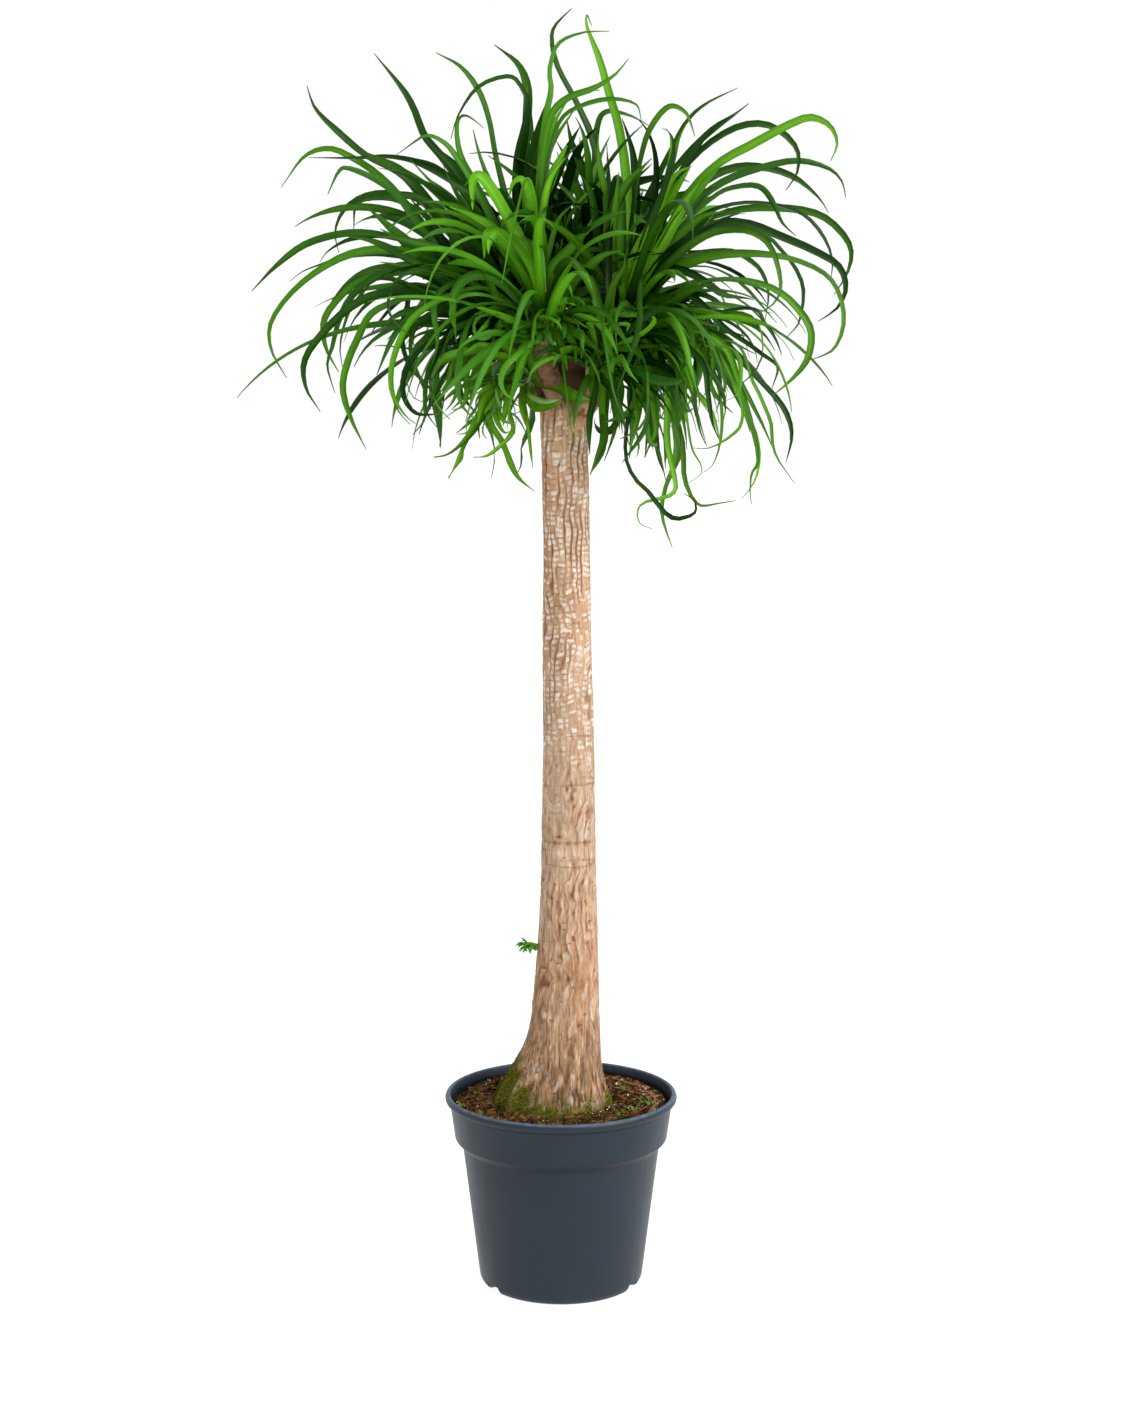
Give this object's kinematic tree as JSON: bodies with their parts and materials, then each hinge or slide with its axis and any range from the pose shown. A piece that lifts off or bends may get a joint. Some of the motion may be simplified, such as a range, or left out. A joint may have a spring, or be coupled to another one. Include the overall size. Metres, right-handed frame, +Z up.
{
  "type": "potted ponytail palm",
  "caption": "Tall ponytail palm with a bare flared trunk and a crown of long arching strap leaves, in a round plastic nursery pot filled with soil.",
  "frame": {"origin": "the pot's axis on the floor, in the plane of the pot's flat underside", "axes": "+Z up along the pot's axis and the trunk, -Y toward the viewer of the picture, +X to the picture's right"},
  "size_m": [0.8747, 0.8938, 1.8422],
  "materials": {
    "pot_plastic": "satin",
    "peat_soil": "matte",
    "bark": "matte",
    "leaf": "satin",
    "young_leaf": "satin"
  },
  "bodies": {
    "root": {"pot": "pot_plastic", "soil": "peat_soil", "trunk": "bark", "head_front": "leaf", "head_right": "leaf", "head_low_right": "leaf", "head_left": "leaf", "head_back_left": "leaf", "head_back_right": "leaf", "side_shoot": "young_leaf", "trunk_sprout": "young_leaf"}
  },
  "joints": []
}
